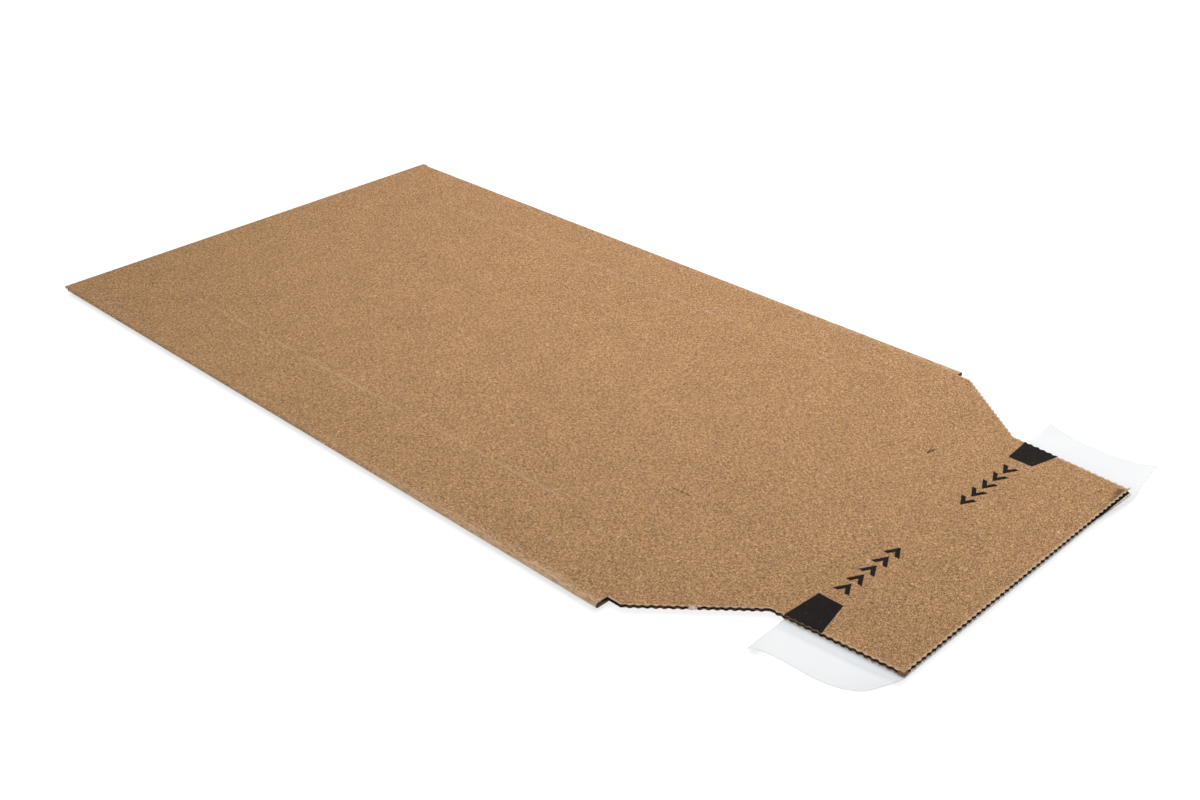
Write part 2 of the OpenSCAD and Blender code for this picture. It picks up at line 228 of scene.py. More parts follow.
class Graph:
    """A node tree with short calls, so that an effect reads as a formula."""

    def __init__(self, tree):
        self.nodes = tree.nodes
        self.links = tree.links

    def put(self, value, socket):
        if isinstance(value, bpy.types.NodeSocket):
            self.links.new(value, socket)
        else:
            socket.default_value = value

    def math(self, operation, *values, clamp=False):
        node = self.nodes.new("ShaderNodeMath")
        node.operation = operation
        node.use_clamp = clamp
        for value, socket in zip(values, node.inputs):
            self.put(value, socket)
        return node.outputs[0]

    def vector(self, operation, first, second=None, out=0):
        node = self.nodes.new("ShaderNodeVectorMath")
        node.operation = operation
        self.put(first, node.inputs[0])
        if operation == "SCALE":
            self.put(second, node.inputs["Scale"])
        elif second is not None:
            self.put(second, node.inputs[1])
        return node.outputs[out]

    def split(self, vector):
        node = self.nodes.new("ShaderNodeSeparateXYZ")
        self.put(vector, node.inputs[0])
        return node.outputs

    def join(self, x, y, z):
        node = self.nodes.new("ShaderNodeCombineXYZ")
        for value, socket in zip((x, y, z), node.inputs):
            self.put(value, socket)
        return node.outputs[0]

    def turned(self, vector, degrees, stretch):
        """The vector in axes turned about Z and stretched along them."""
        node = self.nodes.new("ShaderNodeMapping")
        node.vector_type = "TEXTURE"
        self.put(vector, node.inputs["Vector"])
        node.inputs["Rotation"].default_value = (0, 0, math.radians(degrees))
        node.inputs["Scale"].default_value = stretch
        return node.outputs[0]

    def noise(self, vector, scale, detail=2.0, rough=0.5):
        node = self.nodes.new("ShaderNodeTexNoise")
        self.put(vector, node.inputs["Vector"])
        self.put(scale, node.inputs["Scale"])
        node.inputs["Detail"].default_value = detail
        node.inputs["Roughness"].default_value = rough
        return node.outputs["Fac"]

    def cells(self, vector, scale):
        node = self.nodes.new("ShaderNodeTexVoronoi")
        self.put(vector, node.inputs["Vector"])
        self.put(scale, node.inputs["Scale"])
        return node.outputs

    def map_range(self, kind, *values):
        node = self.nodes.new("ShaderNodeMapRange")
        node.interpolation_type = kind
        for key, item in zip(("Value", "From Min", "From Max", "To Min", "To Max"), values):
            self.put(item, node.inputs[key])
        return node.outputs["Result"]

    def ramp(self, value, low, high, start=0.0, end=1.0):
        """Eases from start at low to end at high, and stays there beyond."""
        return self.map_range("SMOOTHSTEP", value, low, high, start, end)

    def line(self, value, low, high, start, end):
        """Runs evenly from start at low to end at high, and stays there beyond."""
        return self.map_range("LINEAR", value, low, high, start, end)

    def mix(self, share, first, second):
        node = self.nodes.new("ShaderNodeMix")
        node.data_type = "RGBA"
        self.put(share, node.inputs[0])
        self.put(first, node.inputs[6])
        self.put(second, node.inputs[7])
        return node.outputs[2]

    def place(self):
        """Position on the piece, in millimetres."""
        return self.vector("SCALE", self.nodes.new("ShaderNodeTexCoord").outputs["Object"], 1 / MM)

    def normal(self):
        return self.nodes.new("ShaderNodeTexCoord").outputs["Normal"]

    def use(self, tree, **values):
        """The outputs of a group, with its inputs set by name."""
        node = self.nodes.new("ShaderNodeGroup")
        node.node_tree = tree
        for name, value in values.items():
            self.put(value, node.inputs[name])
        return node.outputs


def new_group(name, inputs, outputs):
    tree = bpy.data.node_groups.new(name, "ShaderNodeTree")
    for label, kind, value in inputs:
        socket = tree.interface.new_socket(name=label, in_out="INPUT", socket_type=kind)
        socket.default_value = value
    for label, kind in outputs:
        tree.interface.new_socket(name=label, in_out="OUTPUT", socket_type=kind)
    start = tree.nodes.new("NodeGroupInput").outputs
    end = tree.nodes.new("NodeGroupOutput").inputs
    return tree, Graph(tree), start, end


# Effects that several materials share


def make_pulp_group():
    """Pressed paper pulp: cloudy tone, crossing fibres and fine grain, with their height."""
    inputs = [
        ("Place", VECTOR, (0, 0, 0)),
        ("Cloud", FLOAT, 0.05),
        ("Fibre", FLOAT, 0.16),
        ("Grain", FLOAT, 0.08),
    ]
    tree, g, start, end = new_group("paper_pulp", inputs, [("Tone", FLOAT), ("Height", FLOAT)])
    place = start["Place"]
    cloud = g.math("SUBTRACT", g.noise(place, 0.055, 3, 0.6), 0.5)
    patch = g.math("SUBTRACT", g.noise(place, 0.3, 2, 0.6), 0.5)
    across = g.noise(g.turned(place, 14, (1.5, 0.42, 1)), 1.0, 2, 0.7)
    along = g.noise(g.turned(place, 101, (1.6, 0.45, 1)), 1.0, 2, 0.7)
    fibre = g.math("SUBTRACT", g.math("ADD", across, along), 1.0)
    grain = g.math("SUBTRACT", g.noise(place, 2.4, 2, 0.85), 0.5)
    clouds = g.math("ADD", cloud, g.math("MULTIPLY", patch, 0.7))
    tone = g.math("ADD", 1.0, g.math("MULTIPLY", clouds, start["Cloud"]))
    tone = g.math("MULTIPLY_ADD", fibre, start["Fibre"], tone)
    tone = g.math("MULTIPLY_ADD", grain, start["Grain"], tone)
    g.put(tone, end["Tone"])
    g.put(g.math("MULTIPLY_ADD", fibre, 0.7, g.math("MULTIPLY", grain, 0.5)), end["Height"])
    return tree


def make_speck_group():
    """Scattered short flecks, drawn out along one direction; Share of the cells hold one."""
    inputs = [
        ("Place", VECTOR, (0, 0, 0)),
        ("Cells", FLOAT, 0.2),
        ("Share", FLOAT, 0.1),
        ("Size", FLOAT, 0.3),
    ]
    tree, g, start, end = new_group("scattered_specks", inputs, [("Mask", FLOAT)])
    cells = g.cells(start["Place"], start["Cells"])
    chosen = g.math("LESS_THAN", g.split(cells["Color"])[0], start["Share"])
    size = g.math("MULTIPLY", start["Size"], g.math("MULTIPLY_ADD", g.split(cells["Color"])[1], 0.8, 0.4))
    spot = g.ramp(cells["Distance"], size, g.math("MULTIPLY", size, 0.5))
    g.put(g.math("MULTIPLY", chosen, spot), end["Mask"])
    return tree


def make_scratch_group():
    """A line drawn from one point to another, fading at its ends and broken by the grain."""
    inputs = [
        ("Place", VECTOR, (0, 0, 0)),
        ("From", VECTOR, (0, 0, 0)),
        ("To", VECTOR, (1, 0, 0)),
        ("Width", FLOAT, 0.2),
    ]
    tree, g, start, end = new_group("scratch_line", inputs, [("Mask", FLOAT)])
    line = g.vector("SUBTRACT", start["To"], start["From"])
    point = g.vector("SUBTRACT", start["Place"], start["From"])
    length = g.vector("DOT_PRODUCT", line, line, out=1)
    share = g.math("DIVIDE", g.vector("DOT_PRODUCT", point, line, out=1), length, clamp=True)
    away = g.vector("LENGTH", g.vector("SUBTRACT", point, g.vector("SCALE", line, share)), out=1)
    wobble = g.math("MULTIPLY", g.math("SUBTRACT", g.noise(start["Place"], 0.6, 2), 0.5), 0.5)
    body = g.ramp(g.math("ADD", away, wobble), start["Width"], g.math("MULTIPLY", start["Width"], 0.4))
    fade = g.math("MULTIPLY", g.ramp(share, 0.0, 0.12), g.ramp(share, 1.0, 0.8))
    broken = g.ramp(g.noise(start["Place"], 1.6, 1), 0.3, 0.5, 0.35, 1.0)
    g.put(g.math("MULTIPLY", g.math("MULTIPLY", body, fade), broken), end["Mask"])
    return tree


def make_scuff_group():
    """Fibres rubbed up along an edge: 1 at the edge, gone a Reach away, in broken patches."""
    inputs = [
        ("Place", VECTOR, (0, 0, 0)),
        ("Away", FLOAT, 0),
        ("Reach", FLOAT, 3),
        ("Patches", FLOAT, 0.5),
    ]
    tree, g, start, end = new_group("rubbed_edge", inputs, [("Mask", FLOAT)])
    near = g.ramp(start["Away"], start["Reach"], 0.0)
    patches = g.noise(g.turned(start["Place"], 90, (4.5, 0.8, 1)), 1.0, 3, 0.7)
    held = g.ramp(patches, start["Patches"], g.math("ADD", start["Patches"], 0.16))
    g.put(g.math("MULTIPLY", near, held), end["Mask"])
    return tree


PULP = make_pulp_group()
SPECKS = make_speck_group()
SCRATCH = make_scratch_group()
SCUFF = make_scuff_group()


def new_material(name, roughness):
    material = bpy.data.materials.new(name)
    material.use_nodes = True
    shader = material.node_tree.nodes["Principled BSDF"]
    shader.inputs["Roughness"].default_value = roughness
    shader.inputs["Specular IOR Level"].default_value = 0.12
    return material, Graph(material.node_tree), shader


def add_bump(g, shader, height, distance, strength):
    bump = g.nodes.new("ShaderNodeBump")
    bump.inputs["Strength"].default_value = strength
    bump.inputs["Distance"].default_value = distance
    g.put(height, bump.inputs["Height"])
    g.put(bump.outputs[0], shader.inputs["Normal"])


# Kraft board

KRAFT = (0.396, 0.227, 0.111, 1)
KRAFT_RUBBED = (0.66, 0.47, 0.31, 1)
KRAFT_FLECK = (0.66, 0.47, 0.31, 1)
KRAFT_SPECK = (0.09, 0.05, 0.03, 1)
KRAFT_TORN = (0.74, 0.62, 0.49, 1)
FACING_CUT = (0.34, 0.215, 0.13, 1)
MEDIUM_CUT = (0.2, 0.135, 0.095, 1)
# Painted shade: near black for the inside of the flutes and for the gap under the torn facing; the kraft
# itself is brown there
PAINTED_FLUTE_SHADE = (0.022, 0.014, 0.01, 1)

# Power that gives pale fibres as much contrast to the eye as dark ones
EYE_POWER = 2.2

# Marks on the front panel and flap, in millimetres on the surface: from, to, width, strength
DARK_MARKS = [
    ((-45.5, -115.9), (-44.8, -127.6), 0.42, 0.85),
    ((-40.0, -119.3), (-47.4, -122.7), 0.42, 0.8),
    ((-5.7, -105.3), (-5.5, -106.3), 0.7, 0.8),
    ((-31.2, 86.9), (-31.0, 85.8), 0.7, 0.8),
    # The next three are wide and darken a band along the free edge by the far corner: painted shade of a
    # dent's valley there, with some dirt
    ((83.6, -253.8), (77.0, -254.2), 3.2, 0.8),
    ((78.0, -254.6), (71.0, -255.0), 2.4, 0.72),
    ((70.0, -255.2), (60.0, -255.6), 1.8, 0.6),
    ((-52.5, -223.8), (-52.3, -225.2), 0.7, 0.85),
    ((51.2, -177.8), (57.6, -178.5), 0.6, 1.0),
]
LIGHT_MARKS = [
    ((37.3, -249.6), (36.8, -251.5), 0.5, 0.9),
]


# How strong the crease near the mouth is beside the two long ones
CROSS_CREASE = 0.3
# More than any distance on the envelope, in millimetres
FAR_AWAY = 999


def crease_mask(g, x, y):
    """1 on the pressed lines that frame the front panel."""
    shift = FLAP_SHIFT / MM
    half = CREASE_X / MM
    first = (CLOSED_Y - CREASE_FROM) / MM
    last = (CLOSED_Y - CREASE_TO) / MM
    mid, reach = (first + last) / 2, (first - last) / 2
    across = g.math("ABSOLUTE", g.math("SUBTRACT", x, shift))
    length = g.math("ABSOLUTE", g.math("SUBTRACT", y, mid))
    in_len = g.ramp(length, reach + 1.5, reach)
    in_width = g.ramp(across, half + 1.5, half)
    long_line = g.ramp(g.math("ABSOLUTE", g.math("SUBTRACT", across, half)), 1.5, 0.3)
    cross_line = g.ramp(g.math("ABSOLUTE", g.math("SUBTRACT", length, reach)), 1.5, 0.3)
    lengthways = g.math("MULTIPLY", long_line, in_len)
    crossways = g.math("MULTIPLY", g.math("MULTIPLY", cross_line, in_width), CROSS_CREASE)
    return g.math("MAXIMUM", lengthways, crossways)


def from_cut_edge(g, x, y):
    """Distance in millimetres from the wave-cut edges of the shoulders and flap, on the surface."""
    d = g.math("MULTIPLY_ADD", x, SKEW, g.math("SUBTRACT", CLOSED_Y / MM, y))
    shoulder = g.line(d, STEP_D / MM, SHOULDER_D / MM, 0, 1)
    flap = g.line(d, SHOULDER_D / MM, FLAP_D / MM, 0, (FLAP_ROOT_W - FLAP_END_W) / 2 / MM)
    shift = g.math("MULTIPLY_ADD", shoulder, (FLAP_SHIFT - STEP_SHIFT) / MM, STEP_SHIFT / MM)
    half = g.math("MULTIPLY_ADD", shoulder, (FLAP_ROOT_W / 2 - STEP_HALF) / MM, STEP_HALF / MM)
    across = g.math("ABSOLUTE", g.math("SUBTRACT", x, shift))
    inwards = g.math("SUBTRACT", g.math("SUBTRACT", half, flap), across)
    to_free_edge = g.math("SUBTRACT", FLAP_D / MM, d)
    past_mouth = g.math("GREATER_THAN", d, MOUTH_D / MM)
    on_panel = g.math("MULTIPLY", g.math("SUBTRACT", 1, past_mouth), FAR_AWAY)
    return g.math("ADD", g.math("MINIMUM", inwards, to_free_edge), on_panel)


def from_flap_side(g, x, y):
    """Distance in millimetres from the flap's side edges, outwards."""
    d = g.math("MULTIPLY_ADD", x, SKEW, g.math("SUBTRACT", CLOSED_Y / MM, y))
    half = g.line(d, SHOULDER_D / MM, FLAP_D / MM, FLAP_ROOT_W / 2 / MM, FLAP_END_W / 2 / MM)
    return g.math("SUBTRACT", g.math("ABSOLUTE", g.math("SUBTRACT", x, FLAP_SHIFT / MM)), half)


def board_regions(g, x, y, z):
    """Masks of the board's cut faces, of the cut facings in them and of the inside of its flutes."""
    ny, nz = [g.math("ABSOLUTE", part) for part in g.split(g.normal())[1:3]]
    away = g.math("SUBTRACT", HALF_W / MM, g.math("ABSOLUTE", x))
    by_side = g.math("LESS_THAN", away, 1.1 * SIDE_FOLD_R / MM)
    on_side = g.math("MULTIPLY", by_side, g.math("LESS_THAN", ny, 0.5))
    on_end = g.math("GREATER_THAN", y, CLOSED_Y / MM - 2.3)
    flat = g.math("SUBTRACT", 1.0, g.math("MAXIMUM", on_side, on_end))
    cut = g.math("MULTIPLY", g.ramp(nz, 0.35, 0.2), flat)
    front = g.math("ABSOLUTE", g.math("SUBTRACT", z, (TOP_Z - BOARD_T / 2) / MM))
    back = g.math("ABSOLUTE", g.math("SUBTRACT", z, BOARD_T / 2 / MM))
    depth = g.math("MINIMUM", front, back)
    core = g.math("LESS_THAN", depth, (BOARD_T / 2 - FACING_T) / MM)
    within = g.math("LESS_THAN", depth, (BOARD_T / 2 - FACING_T / 2) / MM)
    inside = g.math("MULTIPLY", g.math("MULTIPLY", within, g.math("SUBTRACT", 1.0, cut)), flat)
    return cut, core, inside, away


def kraft_board():
    material, g, shader = new_material("kraft_board", 0.9)
    place = g.place()
    x, y, z = g.split(place)[0:3]
    cut, core, inside, away = board_regions(g, x, y, z)
    pulp = g.use(PULP, Place=place, Cloud=0.11, Fibre=1.25, Grain=1.6)

    colour = g.vector("SCALE", KRAFT[:3], g.math("POWER", pulp["Tone"], EYE_POWER))
    fleck = g.use(SPECKS, Place=g.turned(place, 8, (2.6, 0.9, 1)), Cells=0.3, Share=0.1, Size=0.24)
    colour = g.mix(g.math("MULTIPLY", fleck["Mask"], 0.5), colour, KRAFT_FLECK)
    speck = g.use(SPECKS, Place=g.turned(place, -30, (1.5, 1, 1)), Cells=0.06, Share=0.2, Size=0.03)
    colour = g.mix(g.math("MULTIPLY", speck["Mask"], 0.75), colour, KRAFT_SPECK)

    crease = crease_mask(g, x, y)
    faded = g.ramp(g.noise(place, 0.1, 3, 0.65), 0.42, 0.6, 0.06, 0.26)
    colour = g.mix(g.math("MULTIPLY", crease, faded), colour, KRAFT_RUBBED)

    for marks, tint in ((DARK_MARKS, KRAFT_SPECK), (LIGHT_MARKS, KRAFT_TORN)):
        for start, end, width, strength in marks:
            z_top = TOP_Z / MM
            line = g.use(SCRATCH, Place=place, From=(*start, z_top), To=(*end, z_top), Width=width)
            colour = g.mix(g.math("MULTIPLY", line["Mask"], strength), colour, tint)

    scuff = g.use(SCUFF, Place=place, Away=away, Reach=6, Patches=0.43)
    worn = g.line(y, 20, -130, 0.15, 0.9)
    colour = g.mix(g.math("MULTIPLY", scuff["Mask"], worn), colour, KRAFT_RUBBED)
    # Extra rubbed colour right at the side folds: partly wear, partly painted light that lifts the shaded
    # underside of the fold
    fold_wear_and_light = g.use(SCUFF, Place=place, Away=away, Reach=1.4, Patches=0.3)
    colour = g.mix(g.math("MULTIPLY", fold_wear_and_light["Mask"], g.math("MULTIPLY", worn, 0.6)), colour, KRAFT_RUBBED)
    rim = g.use(SCUFF, Place=place, Away=from_cut_edge(g, x, y), Reach=1.3, Patches=0.12)
    colour = g.mix(g.math("MULTIPLY", rim["Mask"], 0.8), colour, KRAFT_RUBBED)

    cut_pulp = g.use(PULP, Place=g.vector("SCALE", place, 2.0), Cloud=0.3, Fibre=0.5, Grain=0.5)
    cut_colour = g.vector("SCALE", g.mix(core, FACING_CUT, MEDIUM_CUT), cut_pulp["Tone"])
    # Painted shade: cut faces get darker towards the steps beside the mouth, down to 40 %
    step_shade = g.ramp(g.math("ABSOLUTE", x), 116, 119, 1, 0.4)
    cut_colour = g.vector("SCALE", cut_colour, step_shade)
    colour = g.mix(cut, colour, cut_colour)
    # Painted shade: the inside of the flutes is coloured near black
    colour = g.mix(inside, colour, PAINTED_FLUTE_SHADE)
    g.put(colour, shader.inputs["Base Color"])

    flute = g.math("COSINE", g.math("MULTIPLY", x, 2 * math.pi * MM / FLUTE_PITCH))
    height = g.math("MULTIPLY_ADD", flute, 0.12, pulp["Height"])
    height = g.math("MULTIPLY_ADD", crease, -0.4, height)
    add_bump(g, shader, height, 0.12 * MM, 0.5)
    return material


def torn_paper(name, tint, painted_shade_inside=None):
    """Paper without its pressed skin, rough and fibrous; painted_shade_inside is a painted shade colour for
    its part inside the cut outline.
    """
    material, g, shader = new_material(name, 0.95)
    place = g.place()
    pulp = g.use(PULP, Place=g.vector("SCALE", place, 1.6), Cloud=0.4, Fibre=0.9, Grain=0.7)
    colour = g.vector("SCALE", tint[:3], pulp["Tone"])
    if painted_shade_inside:
        x, y, z = g.split(place)[0:3]
        # Painted shade where the piece lies inside the cut outline, under the board
        colour = g.mix(g.ramp(from_cut_edge(g, x, y), -0.7, -0.45), colour, painted_shade_inside)
    g.put(colour, shader.inputs["Base Color"])
    add_bump(g, shader, pulp["Height"], 0.15 * MM, 0.7)
    return material


# A light line inside the near tear mark, where the ink has been scraped
INK_SCRATCHES = [((-61.5, -218.3), (-78.8, -222.3))]


def plain_ink():
    material, g, shader = new_material("black_ink", 0.7)
    shader.inputs["Specular IOR Level"].default_value = 0.02
    place = g.place()
    pulp = g.use(PULP, Place=place, Cloud=0.5, Fibre=0.9, Grain=0.5)
    colour = g.vector("SCALE", (0.017, 0.0145, 0.0135), pulp["Tone"])
    fleck = g.use(SPECKS, Place=g.turned(place, 40, (2.0, 0.7, 1)), Cells=0.8, Share=0.2, Size=0.25)
    colour = g.mix(g.math("MULTIPLY", fleck["Mask"], 0.2), colour, KRAFT)
    for start, end in INK_SCRATCHES:
        z_top = TOP_Z / MM
        line = g.use(SCRATCH, Place=place, From=(*start, z_top), To=(*end, z_top), Width=0.3)
        colour = g.mix(g.math("MULTIPLY", line["Mask"], 0.2), colour, KRAFT)
    g.put(colour, shader.inputs["Base Color"])
    add_bump(g, shader, pulp["Height"], 0.1 * MM, 0.5)
    return material


def liner_rim_shade(g, x, y):
    """1 along the cut edges of the release liner, where a thin line of painted shade darkens them."""
    from_middle = g.math("SUBTRACT", x, FLAP_SHIFT / MM)
    near = g.ramp(from_middle, (0.7 * MM - LINER_NEAR) / MM, (0.2 * MM - LINER_NEAR) / MM)
    far = g.ramp(from_middle, (LINER_FAR - 0.7 * MM) / MM, (LINER_FAR - 0.2 * MM) / MM)
    middle_d = (FLAP_D + LINER_PAST - LINER_W / 2) / MM
    d = g.math("MULTIPLY_ADD", x, SKEW, g.math("SUBTRACT", CLOSED_Y / MM - middle_d, y))
    sides = g.ramp(g.math("ABSOLUTE", d), LINER_W / 2 / MM - 0.7, LINER_W / 2 / MM - 0.2)
    sides = g.math("MULTIPLY", sides, g.ramp(x, 40, 60, 1, 0))
    return g.math("MAXIMUM", sides, g.math("MAXIMUM", near, far))


def liner_paper():
    material, g, shader = new_material("liner_paper", 0.42)
    place = g.place()
    pulp = g.use(PULP, Place=place, Cloud=0.03, Fibre=0.015, Grain=0.01)
    x, y, z = g.split(place)[0:3]
    # Painted shadow: a grey-blue band on the liner beside the flap's near side edge, where the flap shades it
    painted_flap_shadow = g.ramp(g.math("ABSOLUTE", g.math("SUBTRACT", from_flap_side(g, x, y), 3.6)), 5.2, 0.4)
    painted_flap_shadow = g.math("MULTIPLY", painted_flap_shadow, g.ramp(x, 20, -20, 0.1, 1))
    # Painted light and shade: the liner is paler on the near side and greyer on the far side, to even out the
    # lamps across it
    painted_light_base = g.mix(g.ramp(x, -50, 60), (0.98, 0.985, 0.99, 1), (0.862, 0.868, 0.872, 1))
    colour = g.mix(g.math("MULTIPLY", painted_flap_shadow, 0.5), painted_light_base, (0.72, 0.78, 0.83, 1))
    # Painted shade: a thin grey-blue line along the liner's cut edges
    colour = g.mix(g.math("MULTIPLY", liner_rim_shade(g, x, y), 0.4), colour, (0.62, 0.68, 0.73, 1))
    g.put(g.vector("SCALE", colour, pulp["Tone"]), shader.inputs["Base Color"])
    shader.inputs["Coat Weight"].default_value = 0.1
    shader.inputs["Coat Roughness"].default_value = 0.3
    add_bump(g, shader, pulp["Height"], 0.02 * MM, 0.3)
    return material


def clear_adhesive():
    material, g, shader = new_material("adhesive_film", 0.24)
    place = g.place()
    pulp = g.use(PULP, Place=place, Cloud=0.15, Fibre=0.1, Grain=0.05)
    g.put(g.vector("SCALE", (0.62, 0.5, 0.35), pulp["Tone"]), shader.inputs["Base Color"])
    g.put(g.ramp(g.noise(place, 0.4, 3), 0.3, 0.7, 0.16, 0.4), shader.inputs["Roughness"])
    add_bump(g, shader, g.noise(place, 0.5, 3), 0.1 * MM, 0.5)
    return material


def tear_film():
    material, g, shader = new_material("tear_film", 0.2)
    place = g.place()
    x, y, z = g.split(place)[0:3]
    thread = g.math("COSINE", g.math("MULTIPLY", y, 2 * math.pi / 0.75))
    tone = g.ramp(thread, -0.4, 0.9, 0.86, 1.06)
    g.put(g.vector("SCALE", (0.78, 0.75, 0.68), tone), shader.inputs["Base Color"])
    add_bump(g, shader, thread, 0.05 * MM, 0.5)
    return material


def seam_adhesive():
    material, g, shader = new_material("seam_glue", 0.35)
    place = g.place()
    pulp = g.use(PULP, Place=place, Cloud=0.3, Fibre=0.2, Grain=0.1)
    g.put(g.vector("SCALE", (0.58, 0.42, 0.25), pulp["Tone"]), shader.inputs["Base Color"])
    add_bump(g, shader, g.noise(place, 0.8, 2), 0.08 * MM, 0.4)
    return material


# Meshes


def new_piece(name, mesh, material):
    piece = bpy.data.objects.new(name, mesh)
    bpy.context.scene.collection.objects.link(piece)
    mesh.materials.append(material)
    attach(piece, "root")
    return piece


def closed_sheet(name, front, back):
    """A closed sheet between two grids of points of the same size."""
    rows, cols = len(front), len(front[0])
    bm = bmesh.new()
    upper = [[bm.verts.new(p) for p in row] for row in front]
    lower = [[bm.verts.new(p) for p in row] for row in back]
    for i in range(rows - 1):
        for j in range(cols - 1):
            bm.faces.new((upper[i][j], upper[i + 1][j], upper[i + 1][j + 1], upper[i][j + 1]))
            bm.faces.new((lower[i][j], lower[i][j + 1], lower[i + 1][j + 1], lower[i + 1][j]))
    rim = [(i, 0) for i in range(rows)] + [(rows - 1, j) for j in range(1, cols)]
    rim += [(i, cols - 1) for i in range(rows - 2, -1, -1)] + [(0, j) for j in range(cols - 2, 0, -1)]
    for k, (i, j) in enumerate(rim):
        a, b = rim[(k + 1) % len(rim)]
        bm.faces.new((upper[i][j], lower[i][j], lower[a][b], upper[a][b]))
    bmesh.ops.recalc_face_normals(bm, faces=bm.faces[:])
    mesh = bpy.data.meshes.new(name)
    bm.to_mesh(mesh)
    bm.free()
    mesh.polygons.foreach_set("use_smooth", [True] * len(mesh.polygons))
    mesh.set_sharp_from_angle(angle=math.radians(40))
    return mesh


def thick_sheet(name, top, thickness):
    """A closed sheet from a grid of top points; thickness is taken straight down."""
    drop = Vector((0, 0, thickness))
    return closed_sheet(name, top, [[point - drop for point in row] for row in top])


# Release liner

NEAR_LIFT, NEAR_RISE, NEAR_DROP = 4.9 * MM, 6.9 * MM, 3.4 * MM
FAR_LIFT, FAR_RISE = 1.2 * MM, 3.6 * MM
LINER_ROWS = 44
LINER_COLS = 36
UNDER_COLS = 60
# How far the liner is bent down and out at the split corner of the flap
CORNER_DIP = 0.45 * MM
CORNER_BULGE = 1.9 * MM
# Shallow valley in the liner along the flap's edge: its depth, and where it lies on the way out
VALLEY_DEPTH = 0.45 * MM
VALLEY_AT = 0.16


def near_end_z(v):
    return NEAR_LIFT - NEAR_DROP * v**4 if v < 0 else NEAR_LIFT + NEAR_RISE * v**2.2


def far_end_z(v):
    return FAR_LIFT + FAR_RISE * abs(v) ** 2.5


def smooth(value):
    value = min(max(value, 0.0), 1.0)
    return value * value * (3 - 2 * value)


def liner_point(side, s, v):
    """A point of the liner: s runs out from the flap's side, v from the shoulder to the free edge.
    Under the flap s is negative, down to -1 in the middle."""
    d = FLAP_D + LINER_PAST - LINER_W * (1 - v) / 2
    root = flap_half(min(d, FLAP_D)) + TOOTH_H
    end = LINER_NEAR if side < 0 else LINER_FAR
    end_z = near_end_z(v) if side < 0 else far_end_z(v)
    x = FLAP_SHIFT + side * (root * (1 + s) if s < 0 else root + (end - root) * s)
    z = LINER_TOP
    if s > 0:
        z += (end_z - LINER_TOP) * s**1.15
        if side < 0:
            z -= VALLEY_DEPTH * math.exp(-(((s - VALLEY_AT) / 0.1) ** 2)) * (1 - abs(v) ** 4)
    if side > 0:
        corner = smooth((x - (FAR_CORNER_X - SPLIT_LEN)) / SPLIT_LEN) * (1 - max(s, 0)) ** 2
        corner *= smooth((d - (FLAP_D - SPLIT_DEPTH)) / SPLIT_DEPTH)
        z -= CORNER_DIP * corner
        d += CORNER_BULGE * corner
    return slant(x, d, z)


def make_liner(material):
    out = [i / LINER_COLS for i in range(1, LINER_COLS + 1)]
    under = [-1 + i / UNDER_COLS for i in range(UNDER_COLS + 1)]
    near_spans = [(-1, s) for s in reversed(out)] + [(-1, 0), (-1, -1)]
    far_spans = [(1, s) for s in under[1:]] + [(1, s) for s in out]
    rows = [2 * j / LINER_ROWS - 1 for j in range(LINER_ROWS + 1)]
    top = [[liner_point(side, s, v) for v in rows] for side, s in near_spans + far_spans]
    piece = new_piece("liner_sheet", thick_sheet("liner_sheet", top, LINER_T), material)
    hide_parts("release_liner")


# Torn and crushed paper along the wave-cut edges

# Corners of the cut outline from the near step to the far one, as across and distance
CUT_CORNERS = [
    (STEP_SHIFT - STEP_HALF, STEP_D),
    (FLAP_SHIFT - FLAP_ROOT_W / 2, SHOULDER_D),
    (FLAP_SHIFT - FLAP_END_W / 2, FLAP_D),
    (FLAP_SHIFT + FLAP_END_W / 2, FLAP_D),
    (FLAP_SHIFT + FLAP_ROOT_W / 2, SHOULDER_D),
    (STEP_SHIFT + STEP_HALF, STEP_D),
]
NEAR_SHOULDER, NEAR_SIDE, FREE_EDGE, FAR_SIDE, FAR_SHOULDER = range(5)
LOWER_FACING_Z = FRONT_Z + FACING_T
UPPER_FACING_Z = TOP_Z - FACING_T
PAPER_T = 0.18 * MM
PLY_T = 0.1 * MM


def on_cut_edge(side, share, out, z):
    """A point on one side of the cut outline, moved out of the board."""
    (x0, d0), (x1, d1) = CUT_CORNERS[side], CUT_CORNERS[side + 1]
    start, end = slant(x0, d0, z), slant(x1, d1, z)
    run = (end - start).normalized()
    return start.lerp(end, share) + Vector((run.y, -run.x, 0)) * out


def edge_length(side):
    return (on_cut_edge(side, 1, 0, 0) - on_cut_edge(side, 0, 0, 0)).length


def make_lower_ply(material):
    """The lower facing at the split corner, torn ragged and bent out over the liner's edge."""
    rng = random.Random(11)
    cols, rows = 56, 6
    length, tucked, reach = 33 * MM, 1.8 * MM, 1.25 * MM
    top = []
    for i in range(cols + 1):
        s = i / cols
        out = s**0.9 * (reach + rng.uniform(-0.12, 0.12) * MM)
        line = []
        for j in range(rows + 1):
            past = -tucked + (tucked + out) * j / rows
            bent = max(0.0, past) / reach
            z = LOWER_FACING_Z + PLY_T + 0.02 * MM - 0.6 * MM * s * bent**0.8
            line.append(slant(FAR_CORNER_X - length * (1 - s), FLAP_D + past, z))
        top.append(line)
    new_piece("torn_lower_ply", thick_sheet("torn_lower_ply", top, PLY_T), material)


